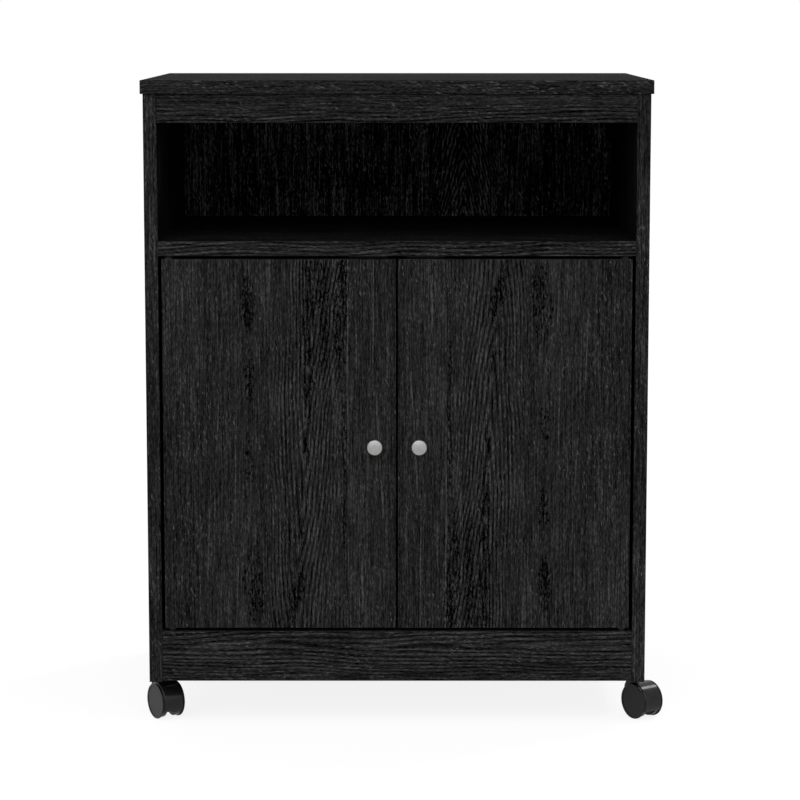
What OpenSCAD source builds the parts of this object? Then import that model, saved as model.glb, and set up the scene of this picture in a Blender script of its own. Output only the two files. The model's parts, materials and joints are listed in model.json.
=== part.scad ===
// A microwave cart: an open niche over a cabinet with two doors, on four twin-wheel casters.
// Sizes are in millimetres. +Z is up, the doors face -Y, and the origin is on the floor
// in the middle of the cart's overall box.

/* [Top panel] */
// Width of the top panel
top_width = 600; // [540:1:760]
// Depth of the top panel, front to back
top_depth = 394; // [360:1:480]
// Thickness of the top panel
top_thickness = 16; // [15:0.5:25]
// How far the top stands out past each side panel
side_overhang = 3; // [0:0.5:12]
// How far the top stands out past the front
front_overhang = 3; // [0:0.5:12]

/* [Carcase] */
// Thickness of the two side panels
side_thickness = 16; // [15:0.5:20]
// Thickness of the cabinet's bottom board
bottom_thickness = 16; // [15:0.5:20]
// Thickness of the two front rails
rail_thickness = 16; // [15:0.5:20]
// Height of the rail under the top panel
top_rail_height = 33.5; // [32:0.5:60]
// Height of the rail under the doors
bottom_rail_height = 60.5; // [54:0.5:90]
// Height of the lower rail's bottom edge over the side panels' bottom edges
bottom_rail_rise = 1.5; // [0:0.5:10]
// Thickness of the hardboard back
back_thickness = 3; // [2.5:0.5:6]
// Bevel along the edges of each board
edge_ease = 0.4; // [0.2:0.1:1]

/* [Niche] */
// Clear height of the niche between its shelf and the upper rail
niche_height = 138.5; // [100:0.5:400]
// Thickness of the fixed shelf between niche and cabinet
niche_shelf_thickness = 18; // [16:0.5:25]

/* [Doors] */
// Height of each door
door_height = 443; // [300:1:700]
// Thickness of each door
door_thickness = 16; // [15:0.5:20]
// Gap between a door and its side panel
door_side_gap = 3.8; // [3:0.1:6]
// Gap between the two doors
door_centre_gap = 2.5; // [1.5:0.1:6]
// Gap over the doors
door_top_gap = 3.5; // [3:0.1:6]
// Gap under the doors
door_bottom_gap = 4.5; // [3.5:0.1:8]
// Space left between a turning door's corner and the side panel
swing_clearance = 0.5; // [0.3:0.1:1]

/* [Door pivots] */
// Diameter of the pivot pin in the door
pivot_diameter = 5; // [4:0.5:6]
// Length of pivot pin that reaches past its collar
pivot_length = 12; // [8:0.5:16]
// Gap all round between pin and bush
pivot_clearance = 0.05; // [0.03:0.01:0.1]
// Diameter of the pin's shank in the cart's frame
pivot_shank_diameter = 6; // [5:0.5:7]
// Length of the pin's shank in the cart's frame
pivot_shank_length = 12; // [8:0.5:14]
// Diameter of the pin's collar
pivot_collar_diameter = 11; // [9:0.5:13]
// Gap between the pin's collar and the bush
pivot_end_gap = 0.3; // [0.1:0.1:0.6]
// Outer diameter of the bush in the door
bush_diameter = 9; // [8:0.5:11]
// Length of the bush in the door
bush_length = 14; // [13:0.5:18]
// Diameter of the bush's flange
bush_flange_diameter = 12; // [11.5:0.5:14]
// Thickness of the bush's flange
bush_flange_thickness = 1.5; // [1:0.1:2]

/* [Knobs] */
// Diameter of the knob's head
knob_diameter = 18.5; // [14:0.5:32]
// How far the knob stands out from the door
knob_projection = 22; // [18:0.5:35]
// Distance from the knob's middle to the door's free edge
knob_inset = 25; // [18:0.5:60]
// Thickness of the knob's head at its rim
knob_head_thickness = 7; // [5:0.5:10]
// Height of the dome on the knob's head
knob_dome = 1.6; // [0.6:0.1:3]
// Rounding of the knob's rim
knob_rim_radius = 2; // [0.5:0.1:2.4]
// Diameter of the knob's neck
knob_neck_diameter = 9; // [7:0.5:12]
// Diameter of the knob's foot on the door
knob_foot_diameter = 12; // [9:0.5:18]
// Thickness of the knob's foot
knob_foot_thickness = 2; // [1:0.5:4]
// Diameter of the screw that holds the knob
knob_screw_diameter = 4; // [3:0.5:5]
// Length of the knob screw inside the knob
knob_screw_reach = 10; // [6:0.5:14]
// Diameter of the knob screw's head
knob_screw_head_diameter = 8; // [6:0.5:10]
// Thickness of the knob screw's head
knob_screw_head_thickness = 2.4; // [1.5:0.1:3]

/* [Magnetic catches] */
// Distance from the cart's middle to each catch's middle
catch_offset = 34; // [28:1:90]
// Width of the catch's housing
catch_width = 46; // [42:1:60]
// Depth of the catch's housing
catch_depth = 14; // [11:0.5:20]
// Plastic around the magnet
catch_wall = 2.5; // [1.5:0.5:4]
// Width of the magnet
magnet_width = 26; // [16:1:30]
// Depth of the magnet
magnet_depth = 8; // [5:0.5:9]
// Height of the magnet
magnet_height = 5; // [3:0.5:8]
// How far the magnet stands out of its housing
magnet_proud = 0.4; // [0.2:0.1:1]
// Gap between the magnet and the closed door's plate
catch_gap = 0.2; // [0.1:0.1:0.5]
// Width of the steel plate on the door
plate_width = 34; // [24:1:40]
// Height of the steel plate on the door
plate_height = 9; // [7:0.5:14]
// Thickness of the steel plate on the door
plate_thickness = 1.2; // [0.8:0.1:2]
// Distance from the door's top edge to its plate
plate_inset = 1; // [0.5:0.5:4]
// Diameter of the small wood screws
small_screw_diameter = 3; // [2.5:0.1:3.5]
// Length of the small wood screws in the wood
small_screw_length = 11; // [8:0.5:13]
// Diameter of the small wood screws' heads
small_screw_head_diameter = 5.6; // [5:0.1:6.5]
// Thickness of the small wood screws' heads
small_screw_head_thickness = 1.2; // [0.8:0.1:2]

/* [Adjustable shelf] */
// Thickness of the adjustable shelf
shelf_thickness = 15; // [12:0.5:20]
// Distance from the doors to the adjustable shelf
shelf_setback = 22; // [12:1:120]
// Gap at each end of the adjustable shelf
shelf_end_gap = 1; // [1:0.1:3]
// Gap behind the adjustable shelf
shelf_back_gap = 2; // [1:0.5:10]
// Height of the middle row of pin holes over the bottom board
shelf_row_height = 212; // [90:1:300]
// Spacing of the pin holes
shelf_row_spacing = 32; // [25:1:40]
// Number of pin holes above and below the middle one
shelf_rows_each_way = 2; // [0:1:2]
// Diameter of the shelf pins
shelf_pin_diameter = 5; // [4:0.5:7]
// Length of the shelf pins inside the side panel
shelf_pin_depth = 9; // [7:0.5:11]
// Length of the shelf pins inside the cabinet
shelf_pin_reach = 9; // [6:0.5:14]
// Diameter of the shelf pins' collar
shelf_pin_collar_diameter = 7.5; // [7.2:0.1:9]
// Thickness of the shelf pins' collar
shelf_pin_collar_thickness = 0.8; // [0.5:0.1:1]
// Distance from the adjustable shelf's front and back edges to its pins
shelf_pin_inset = 38; // [20:1:80]

/* [Casters] */
// Height of the side panels' bottom edges over the floor
caster_height = 53; // [52:1:70]
// Diameter of the caster wheels
wheel_diameter = 43; // [38:0.5:44]
// Overall width of a caster over both wheels
caster_width = 30; // [28:0.5:36]
// Width of each wheel's rim, outside the hood
tread_width = 2.2; // [1.8:0.1:4]
// Rounding of the wheel's rim
tread_rounding = 0.8; // [0.4:0.1:0.8]
// Width of each wheel's band, inside the hood
band_width = 5.5; // [4:0.1:6]
// Diameter of each wheel's drum, between its band and the hood's web
drum_diameter = 33; // [24:0.5:35]
// Depth of the dish in the wheel's outer face
wheel_dish_depth = 0.4; // [0.3:0.1:1.5]
// Width of the rim around the wheel's dish
wheel_rim_width = 3; // [2.5:0.1:5]
// Plastic between the axle's end and the wheel's dish
wheel_face_thickness = 1.7; // [1.2:0.1:2.5]
// Thickness of the hood's web between the wheels
hood_web = 7; // [6:0.5:8]
// Thickness of the hood over the wheels
hood_wall = 1.4; // [1.2:0.1:3]
// Bevel along the hood's two rims
hood_bevel = 1; // [0.4:0.1:1.5]
// Angle by which the hood reaches under the axle at the trailing side
hood_drop = 28; // [0:1:32]
// Plastic around the axle in the hood
hub_wall = 4.5; // [3:0.1:6]
// Gap between a wheel and its hood, sideways
wheel_side_gap = 0.3; // [0.3:0.1:0.6]
// Gap between a wheel's band and its hood
wheel_band_gap = 0.5; // [0.4:0.1:1]
// How far the hood's curve stands over the wheel's rim
hood_over = 0.6; // [0:0.1:1]
// Distance from the swivel axis to the wheel axle
caster_trail = 15; // [12:0.5:18]
// Diameter of the wheel axle
axle_diameter = 5; // [4:0.5:6]
// Gap all round between axle and wheel
axle_clearance = 0.05; // [0.03:0.01:0.1]
// Diameter of the hood's neck
neck_diameter = 11; // [10.5:0.5:13]
// Radius of the hood's raised saddle
saddle_radius = 12; // [11:0.5:14]
// Distance from the stem's middle to the saddle's leading side
saddle_lead = 8; // [7.5:0.1:9]
// Height of the saddle over the hood's curve
saddle_rise = 1.5; // [1:0.5:3]
// Width of the saddle
saddle_width = 17; // [11:0.5:20]
// Diameter of the stem
stem_diameter = 8; // [7:0.5:8]
// Length of the stem inside the side panel
stem_length = 36; // [25:1:40]
// Gap all round between stem and socket
stem_clearance = 0.05; // [0.03:0.01:0.1]
// Outer diameter of the socket
socket_diameter = 11; // [10.5:0.5:12]
// Thickness of the socket's closed end
socket_end = 1.5; // [1:0.1:2.5]
// Thickness of the socket's flange
socket_flange_thickness = 1.4; // [1:0.1:2]
// Diameter of the socket's flange
socket_flange_diameter = 14; // [13.5:0.5:15]
// Gap between the hood's neck and the socket
swivel_gap = 0.3; // [0.2:0.1:0.6]
// Distance from the front to the front stems
front_stem_inset = 51; // [45:1:80]
// Distance from the back to the rear stems
rear_stem_inset = 50; // [45:1:80]
// Direction in which the front left caster trails
front_left_angle = -58; // [-80:1:-40]
// Direction in which the front right caster trails
front_right_angle = -54; // [-60:1:-40]
// Direction in which the rear right caster trails
rear_right_angle = -72; // [-90:1:-65]

/* [Fittings] */
// Diameter of the cam locks
cam_diameter = 15; // [12:0.5:16]
// Distance from a board's end to its cam lock's middle
cam_distance = 24; // [22:1:34]
// Height of the cam lock over the bolt's middle
cam_above_bolt = 4.5; // [4:0.1:5]
// How deep the cam lock lies in its pocket
cam_recess = 0.4; // [0.2:0.1:1]
// Diameter of the cam bolt's thread
bolt_thread_diameter = 6; // [5:0.5:7]
// Length of the cam bolt's thread
bolt_thread_length = 11; // [8:0.5:12]
// Diameter of the cam bolt's shank
bolt_shank_diameter = 4.5; // [4:0.5:5]
// Diameter of the cam bolt's head
bolt_head_diameter = 6.6; // [6:0.1:7]
// Space around the cam bolt in the board and the cam
bolt_clearance = 0.5; // [0.3:0.1:0.8]
// Wood left between a rail's edge and its fittings
rail_margin = 2; // [1.5:0.1:3]
// Distance from the front and the back to the boards' cam locks
cam_inset = 60; // [40:1:100]
// Diameter of the dowels
dowel_diameter = 8; // [6:0.5:8]
// Length of a dowel in the panel that it stands on
dowel_panel_depth = 11; // [8:0.5:12]
// Length of a dowel in the board that it holds
dowel_board_depth = 19; // [14:0.5:22]
// Distance from the cart's middle to the rails' outer dowels
rail_dowel_offset = 150; // [100:1:190]
// Diameter of the nails in the back
nail_diameter = 1.6; // [1.2:0.1:2]
// Length of the nails in the back
nail_length = 20; // [15:1:25]
// Diameter of the nails' heads
nail_head_diameter = 3.6; // [3:0.1:5]
// Thickness of the nails' heads
nail_head_thickness = 0.8; // [0.5:0.1:1]
// Number of nails up each side of the back
side_nail_count = 7; // [4:1:10]
// Distance from the back's corners to the nearest nails
nail_margin = 30; // [25:1:60]
// Distance from the cart's middle to the boards' outer nails
board_nail_offset = 180; // [100:1:200]

/* [Hidden] */

$fn = 64;
// How far a cutter runs past the face that it opens
cut = 1;
laminate = [0.14, 0.14, 0.14];
hardboard = [0.20, 0.19, 0.18];
beech = [0.72, 0.58, 0.40];
nickel = [0.62, 0.62, 0.61];
zinc = [0.70, 0.71, 0.73];
magnet_grey = [0.25, 0.25, 0.26];
black_plastic = [0.10, 0.10, 0.10];
black_steel = [0.16, 0.16, 0.17];

// Widths and depths of the carcase
body_width = top_width - 2 * side_overhang;
inner_width = body_width - 2 * side_thickness;
body_depth = top_depth - front_overhang - back_thickness;
overall_depth = knob_projection + body_depth + back_thickness;
front_y = knob_projection - overall_depth / 2;
rear_y = front_y + body_depth;
side_middle_x = (inner_width + side_thickness) / 2;
rail_middle_y = front_y + rail_thickness / 2;

// Heights, from the floor up
rail_bottom_z = caster_height + bottom_rail_rise;
rail_top_z = rail_bottom_z + bottom_rail_height;
bottom_middle_z = rail_top_z - bottom_thickness / 2;
door_bottom_z = rail_top_z + door_bottom_gap;
door_top_z = door_bottom_z + door_height;
niche_shelf_z = door_top_z + door_top_gap;
niche_floor_z = niche_shelf_z + niche_shelf_thickness;
niche_shelf_middle_z = niche_shelf_z + niche_shelf_thickness / 2;
top_rail_z = niche_floor_z + niche_height;
top_z = top_rail_z + top_rail_height;
overall_height = top_z + top_thickness;

// The left door and its pivot axis, at the least inset at which its corner clears the side
door_width = (inner_width - 2 * door_side_gap - door_centre_gap) / 2;
door_left_x = -inner_width / 2 + door_side_gap;
door_right_x = door_left_x + door_width;
door_back_y = front_y + door_thickness;
swing_room = door_side_gap - swing_clearance;
pivot_inset = (pow(door_thickness / 2, 2) - pow(swing_room, 2)) / (2 * swing_room);
pivot_x = door_left_x + pivot_inset;
pivot_y = front_y + door_thickness / 2;
knob_x = door_right_x - knob_inset;
knob_z = door_bottom_z + door_height / 2;

// The left catch and its plate
plate_middle_z = door_top_z - plate_inset - plate_height / 2;
plate_back_y = door_back_y + plate_thickness;
magnet_front_y = plate_back_y + catch_gap;
catch_front_y = magnet_front_y + magnet_proud;
catch_bottom_z = plate_middle_z - magnet_height / 2 - catch_wall;
catch_screw_x = (catch_width + magnet_width) / 4;

// The adjustable shelf and its pins
shelf_front_y = door_back_y + shelf_setback;
shelf_rear_y = rear_y - shelf_back_gap;
shelf_pin_z = rail_top_z + shelf_row_height;
shelf_z = shelf_pin_z + shelf_pin_diameter / 2;
shelf_pin_ys = [shelf_front_y + shelf_pin_inset, shelf_rear_y - shelf_pin_inset];

// A caster, in its own frame: the stem stands on the origin and the wheels trail along +X
wheel_radius = wheel_diameter / 2;
hood_radius = wheel_radius + hood_over;
wheel_space_radius = hood_radius - hood_wall;
wheel_band_radius = wheel_space_radius - wheel_band_gap;
tread_inner_y = caster_width / 2 - tread_width;
band_inner_y = tread_inner_y - band_width;
hood_half_width = tread_inner_y - wheel_side_gap;
wheel_inner_y = hood_web / 2 + wheel_side_gap;
wheel_bore_end_y = caster_width / 2 - wheel_dish_depth - wheel_face_thickness;
axle_half_length = wheel_bore_end_y - wheel_side_gap;
neck_top_z = caster_height - socket_flange_thickness - swivel_gap;
saddle_top_z = wheel_radius + hood_radius + saddle_rise;
stem_foot_reach = caster_trail - stem_diameter / 2;
stem_foot_z = wheel_radius + sqrt(pow(wheel_space_radius, 2) - pow(stem_foot_reach, 2)) + hood_bevel;
stem_top_z = caster_height + stem_length;
socket_top_z = stem_top_z + swivel_gap + socket_end;

// Each caster's stem place and trailing direction. The rear left one mirrors the front right.
front_left = [-side_middle_x, front_y + front_stem_inset, front_left_angle];
front_right = [side_middle_x, front_y + front_stem_inset, front_right_angle];
rear_left = [-side_middle_x, rear_y - rear_stem_inset, 180 - front_right_angle];
rear_right = [side_middle_x, rear_y - rear_stem_inset, rear_right_angle];

// Places of the fittings on the cart's left half. In each one's own frame +X runs from the
// panel into the board's end, and a cam lock opens towards -Z.
board_cam_ys = [front_y + cam_inset, rear_y - cam_inset];
board_dowel_y = (front_y + rear_y) / 2;
top_dowel_ys = [for (y = board_cam_ys) (y + board_dowel_y) / 2];
end_x = -inner_width / 2;
ALONG_X = [0, 0, 0];
ALONG_Y = [0, 0, 90];
DOWN = [0, 90, 0];
DOWN_FACING_IN = [180, 90, 0];
ALONG_X_FACING_BACK = [90, 0, 0];

// Each cam joint is its place, its turn and the thickness of the board that holds the cam
niche_cams = [for (y = board_cam_ys) [[end_x, y, niche_shelf_middle_z], ALONG_X, niche_shelf_thickness]];
bottom_cams = [for (y = board_cam_ys) [[end_x, y, bottom_middle_z], ALONG_X, bottom_thickness]];
top_cams = [for (y = board_cam_ys) [[-side_middle_x, y, top_z], DOWN_FACING_IN, side_thickness]];
rail_cam_rise = cam_diameter / 2 + rail_margin;
rail_dowel_drop = dowel_diameter / 2 + rail_margin;
top_rail_cams = [[[end_x, rail_middle_y, top_rail_z + rail_cam_rise],
    ALONG_X_FACING_BACK, rail_thickness]];
bottom_rail_cams = [[[end_x, rail_middle_y, rail_bottom_z + rail_cam_rise],
    ALONG_X_FACING_BACK, rail_thickness]];

// Each dowel is its place and its turn
niche_dowels = [[[end_x, board_dowel_y, niche_shelf_middle_z], ALONG_X]];
bottom_dowels = [[[end_x, board_dowel_y, bottom_middle_z], ALONG_X]];
top_dowels = [for (y = top_dowel_ys) [[-side_middle_x, y, top_z], DOWN_FACING_IN]];
top_rail_dowels = [[[end_x, rail_middle_y, top_z - rail_dowel_drop], ALONG_X]];
bottom_rail_dowel_z = rail_bottom_z + rail_cam_rise + cam_diameter / 2 + rail_dowel_drop;
bottom_rail_dowels = [[[end_x, rail_middle_y, bottom_rail_dowel_z], ALONG_X]];

// The dowels along the rails, for the whole width
rail_dowel_xs = [-rail_dowel_offset, 0, rail_dowel_offset];
rail_to_top_dowels = [for (x = rail_dowel_xs) [[x, rail_middle_y, top_z], DOWN]];
rail_to_bottom_dowels = [for (x = rail_dowel_xs) [[x, front_y + rail_thickness, bottom_middle_z], ALONG_Y]];

// The nails in the back, for the whole width
back_bottom_z = rail_top_z - bottom_thickness;
nail_step = (top_z - back_bottom_z - 2 * nail_margin) / (side_nail_count - 1);
side_nails = [for (x = [-side_middle_x, side_middle_x]) for (i = [0 : side_nail_count - 1])
    [x, back_bottom_z + nail_margin + i * nail_step]];
board_nail_xs = [-board_nail_offset, 0, board_nail_offset];
niche_nails = [for (x = board_nail_xs) [x, niche_shelf_middle_z]];
bottom_nails = [for (x = board_nail_xs) [x, bottom_middle_z]];

// ---- Shared shapes ----

module eased_rectangle(width, height) {
    polygon([
        [edge_ease, 0],
        [width - edge_ease, 0],
        [width, edge_ease],
        [width, height - edge_ease],
        [width - edge_ease, height],
        [edge_ease, height],
        [0, height - edge_ease],
        [0, edge_ease]
    ]);
}

// A board between two corners, with a fine bevel on its twelve edges
module board(low, high) {
    size = high - low;
    translate(low)
    intersection() {
        linear_extrude(size.z) eased_rectangle(size.x, size.y);
        translate([0, size.y, 0])
        rotate([90, 0, 0])
        linear_extrude(size.y) eased_rectangle(size.x, size.z);
        rotate([90, 0, 90])
        linear_extrude(size.x) eased_rectangle(size.y, size.z);
    }
}

module both_halves() {
    children();
    mirror([1, 0, 0]) children();
}

// A rod along X from one place to another
module rod_x(diameter, from, to) {
    translate([from, 0, 0])
    rotate([0, 90, 0])
    cylinder(d = diameter, h = to - from);
}

// A rod along -Y from one place back to another
module rod_y(diameter, from, to) {
    translate([0, to, 0])
    rotate([90, 0, 0])
    cylinder(d = diameter, h = to - from);
}

module rod_z(diameter, from, to) {
    translate([0, 0, from])
    cylinder(d = diameter, h = to - from);
}

module at_joint(joint) {
    translate(joint[0])
    rotate(joint[1])
    children();
}

// ---- Cam joints, dowels and nails ----

module cam_bolt() {
    rod_x(bolt_thread_diameter, -bolt_thread_length, 0);
    rod_x(bolt_shank_diameter, -cut, cam_distance);
    rod_x(bolt_head_diameter, cam_distance - bolt_head_diameter / 4, cam_distance + bolt_head_diameter / 4);
}

// Length of a cam lock from the face that it opens on
function cam_reach(thickness) = thickness / 2 + cam_above_bolt;

module cam_lock(thickness) {
    slot_width = 1.6;
    slot_depth = 1.5;
    face_z = -thickness / 2 + cam_recess;
    bolt_space = bolt_head_diameter + 2 * bolt_clearance;
    difference() {
        translate([cam_distance, 0, face_z])
        cylinder(d = cam_diameter, h = cam_reach(thickness) - cam_recess);
        rod_x(bolt_space, 0, cam_distance + bolt_head_diameter / 4 + bolt_clearance);
        for (turn = [45, 135])
            translate([cam_distance, 0, face_z])
            rotate([0, 0, turn])
            cube([cam_diameter / 2, slot_width, 2 * slot_depth], center = true);
    }
}

// The holes that cam joints need in the panel that holds the bolts
module cam_panel_holes(joints) {
    for (joint = joints)
        at_joint(joint)
        rod_x(bolt_thread_diameter, -bolt_thread_length, cut);
}

// The holes that cam joints need in the board that holds the cam locks
module cam_board_holes(joints) {
    for (joint = joints)
        at_joint(joint) {
            rod_x(bolt_head_diameter + 2 * bolt_clearance, -cut, cam_distance);
            translate([cam_distance, 0, -joint[2] / 2 - cut])
            cylinder(d = cam_diameter, h = cam_reach(joint[2]) + cut);
        }
}

module dowel() {
    rod_x(dowel_diameter, -dowel_panel_depth, dowel_board_depth);
}

module dowel_holes(joints) {
    for (joint = joints)
        at_joint(joint)
        dowel();
}

// A nail flush with the back's rear face
module nail(place) {
    face_y = rear_y + back_thickness;
    translate([place.x, 0, place.y]) {
        rod_y(nail_diameter, face_y - nail_length, face_y);
        rod_y(nail_head_diameter, face_y - nail_head_thickness, face_y);
    }
}

module nails(places) {
    for (place = places)
        nail(place);
}

// ---- Boards ----

module top_panel() {
    color(laminate)
    difference() {
        board(
            [-top_width / 2, front_y - front_overhang, top_z],
            [top_width / 2, rear_y + back_thickness, overall_height]
        );
        both_halves() {
            cam_panel_holes(top_cams);
            dowel_holes(top_dowels);
        }
        dowel_holes(rail_to_top_dowels);
    }
}

module side_panel() {
    difference() {
        board(
            [-body_width / 2, front_y, caster_height],
            [-inner_width / 2, rear_y, top_z]
        );
        cam_panel_holes(niche_cams);
        cam_panel_holes(bottom_cams);
        cam_panel_holes(top_rail_cams);
        cam_panel_holes(bottom_rail_cams);
        cam_board_holes(top_cams);
        dowel_holes(niche_dowels);
        dowel_holes(bottom_dowels);
        dowel_holes(top_rail_dowels);
        dowel_holes(bottom_rail_dowels);
        dowel_holes(top_dowels);
        shelf_pin_holes();
        for (caster = [front_left, rear_left])
            translate([caster.x, caster.y, 0])
            rod_z(socket_diameter, caster_height - cut, socket_top_z);
        nails(side_nails);
    }
}

module left_side_panel() {
    color(laminate) side_panel();
}

module right_side_panel() {
    color(laminate) mirror([1, 0, 0]) side_panel();
}

module niche_shelf() {
    color(laminate)
    difference() {
        board(
            [-inner_width / 2, front_y, niche_shelf_z],
            [inner_width / 2, rear_y, niche_floor_z]
        );
        both_halves() {
            cam_board_holes(niche_cams);
            dowel_holes(niche_dowels);
            upper_pivot_pin();
            catch_screw_pair();
        }
        nails(niche_nails);
    }
}

module bottom_board() {
    color(laminate)
    difference() {
        board(
            [-inner_width / 2, front_y + rail_thickness, back_bottom_z],
            [inner_width / 2, rear_y, rail_top_z]
        );
        both_halves() {
            cam_board_holes(bottom_cams);
            dowel_holes(bottom_dowels);
        }
        dowel_holes(rail_to_bottom_dowels);
        nails(bottom_nails);
    }
}

module back_panel() {
    color(hardboard)
    difference() {
        translate([-body_width / 2, rear_y, back_bottom_z])
        cube([body_width, back_thickness, top_z - back_bottom_z]);
        nails(side_nails);
        nails(niche_nails);
        nails(bottom_nails);
    }
}

module top_rail() {
    color(laminate)
    difference() {
        board(
            [-inner_width / 2, front_y, top_rail_z],
            [inner_width / 2, front_y + rail_thickness, top_z]
        );
        both_halves() {
            cam_board_holes(top_rail_cams);
            dowel_holes(top_rail_dowels);
        }
        dowel_holes(rail_to_top_dowels);
    }
}

module bottom_rail() {
    color(laminate)
    difference() {
        board(
            [-inner_width / 2, front_y, rail_bottom_z],
            [inner_width / 2, front_y + rail_thickness, rail_top_z]
        );
        both_halves() {
            cam_board_holes(bottom_rail_cams);
            dowel_holes(bottom_rail_dowels);
            lower_pivot_pin();
        }
        dowel_holes(rail_to_bottom_dowels);
    }
}

// ---- Adjustable shelf ----

module adjustable_shelf() {
    shelf_half = inner_width / 2 - shelf_end_gap;
    color(laminate)
    board(
        [-shelf_half, shelf_front_y, shelf_z],
        [shelf_half, shelf_rear_y, shelf_z + shelf_thickness]
    );
}

module shelf_pin_holes() {
    for (y = shelf_pin_ys)
        for (row = [-shelf_rows_each_way : shelf_rows_each_way])
            translate([end_x, y, shelf_pin_z + row * shelf_row_spacing])
            rod_x(shelf_pin_diameter, -shelf_pin_depth, cut);
}

module shelf_pins() {
    color(zinc)
    both_halves()
    for (y = shelf_pin_ys)
        translate([end_x, y, shelf_pin_z]) {
            rod_x(shelf_pin_diameter, -shelf_pin_depth, shelf_pin_reach);
            rod_x(shelf_pin_collar_diameter, 0, shelf_pin_collar_thickness);
        }
}

// ---- Hidden fittings ----

module cam_locks() {
    color(zinc)
    both_halves()
    for (joints = [niche_cams, bottom_cams, top_cams, top_rail_cams, bottom_rail_cams])
        for (joint = joints)
            at_joint(joint)
            cam_lock(joint[2]);
}

module cam_bolts() {
    color(zinc)
    both_halves()
    for (joints = [niche_cams, bottom_cams, top_cams, top_rail_cams, bottom_rail_cams])
        for (joint = joints)
            at_joint(joint)
            cam_bolt();
}

module dowels() {
    color(beech) {
        both_halves()
        for (joints = [niche_dowels, bottom_dowels, top_dowels, top_rail_dowels, bottom_rail_dowels])
            dowel_holes(joints);
        dowel_holes(rail_to_top_dowels);
        dowel_holes(rail_to_bottom_dowels);
    }
}

module back_nails() {
    color(zinc) {
        nails(side_nails);
        nails(niche_nails);
        nails(bottom_nails);
    }
}

// ---- Door pivots ----

// A pivot pin that points up from z = 0, its shank below, under a gap to the door
module pivot_pin(gap) {
    collar_top = gap - bush_flange_thickness - pivot_end_gap;
    rod_z(pivot_shank_diameter, -pivot_shank_length, 0);
    rod_z(pivot_collar_diameter, 0, collar_top);
    rod_z(pivot_diameter, 0, collar_top + pivot_length);
}

// A bush that points up into the door's lower edge at z = 0, its flange below
module pivot_bush() {
    difference() {
        union() {
            rod_z(bush_flange_diameter, -bush_flange_thickness, 0);
            rod_z(bush_diameter, 0, bush_length);
        }
        rod_z(pivot_diameter + 2 * pivot_clearance, -bush_flange_thickness - cut, bush_length - cut);
    }
}

module lower_pivot_pin() {
    translate([pivot_x, pivot_y, rail_top_z])
    pivot_pin(door_bottom_gap);
}

module upper_pivot_pin() {
    translate([pivot_x, pivot_y, niche_shelf_z])
    mirror([0, 0, 1])
    pivot_pin(door_top_gap);
}

module door_pivot_pins() {
    color(black_steel)
    both_halves() {
        lower_pivot_pin();
        upper_pivot_pin();
    }
}

module door_bushes() {
    translate([pivot_x, pivot_y, door_bottom_z])
    pivot_bush();
    translate([pivot_x, pivot_y, door_top_z])
    mirror([0, 0, 1])
    pivot_bush();
}

module left_door_bushes() {
    color(black_plastic) door_bushes();
}

module right_door_bushes() {
    color(black_plastic) mirror([1, 0, 0]) door_bushes();
}

// ---- Doors ----

module door() {
    difference() {
        board(
            [door_left_x, front_y, door_bottom_z],
            [door_right_x, door_back_y, door_top_z]
        );
        for (end = [[door_bottom_z, 0], [door_top_z, 1]])
            translate([pivot_x, pivot_y, end[0]])
            mirror([0, 0, end[1]])
            rod_z(bush_diameter, -cut, bush_length);
        translate([knob_x, 0, knob_z])
        rod_y(knob_screw_diameter, front_y - cut, door_back_y + cut);
        plate_screw();
    }
}

module left_door() {
    color(laminate) door();
}

module right_door() {
    color(laminate) mirror([1, 0, 0]) door();
}

// Half of the knob's outline, its foot on y = 0
module knob_outline() {
    head_y = knob_projection - knob_dome - knob_head_thickness;
    rim_y = knob_projection - knob_dome;
    half = knob_diameter / 2;
    dome_radius = (pow(half, 2) + pow(knob_dome, 2)) / (2 * knob_dome);
    square([knob_foot_diameter / 2, knob_foot_thickness]);
    square([knob_neck_diameter / 2, rim_y]);
    intersection() {
        union() {
            translate([0, head_y]) square([half - knob_rim_radius, knob_projection - head_y]);
            translate([0, head_y + knob_rim_radius])
            square([half, knob_head_thickness - 2 * knob_rim_radius]);
            translate([half - knob_rim_radius, head_y + knob_rim_radius]) circle(knob_rim_radius);
            translate([half - knob_rim_radius, rim_y - knob_rim_radius]) circle(knob_rim_radius);
        }
        translate([0, knob_projection - dome_radius]) circle(dome_radius, $fn = 256);
        square([half, knob_projection]);
    }
}

module knob() {
    translate([knob_x, front_y, knob_z])
    rotate([90, 0, 0])
    difference() {
        rotate_extrude() knob_outline();
        rod_z(knob_screw_diameter, -cut, knob_screw_reach);
    }
}

module left_knob() {
    color(nickel) knob();
}

module right_knob() {
    color(nickel) mirror([1, 0, 0]) knob();
}

module knob_screw() {
    translate([knob_x, 0, knob_z]) {
        rod_y(knob_screw_diameter, front_y - knob_screw_reach, door_back_y);
        rod_y(knob_screw_head_diameter, door_back_y, door_back_y + knob_screw_head_thickness);
    }
}

module left_knob_screw() {
    color(zinc) knob_screw();
}

module right_knob_screw() {
    color(zinc) mirror([1, 0, 0]) knob_screw();
}

// ---- Magnetic catches ----

module catch_plate() {
    translate([-catch_offset, 0, plate_middle_z])
    difference() {
        translate([-plate_width / 2, door_back_y, -plate_height / 2])
        cube([plate_width, plate_thickness, plate_height]);
        rod_y(small_screw_diameter, door_back_y - cut, plate_back_y + cut);
        rod_y(small_screw_head_diameter, plate_back_y - plate_thickness / 2, plate_back_y + cut);
    }
}

// The screw's head lies half the plate's thickness deep, flush with the plate
module plate_screw() {
    translate([-catch_offset, 0, plate_middle_z]) {
        rod_y(small_screw_diameter, door_back_y - small_screw_length, plate_back_y - plate_thickness / 2);
        rod_y(small_screw_head_diameter, plate_back_y - plate_thickness / 2, plate_back_y);
    }
}

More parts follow.
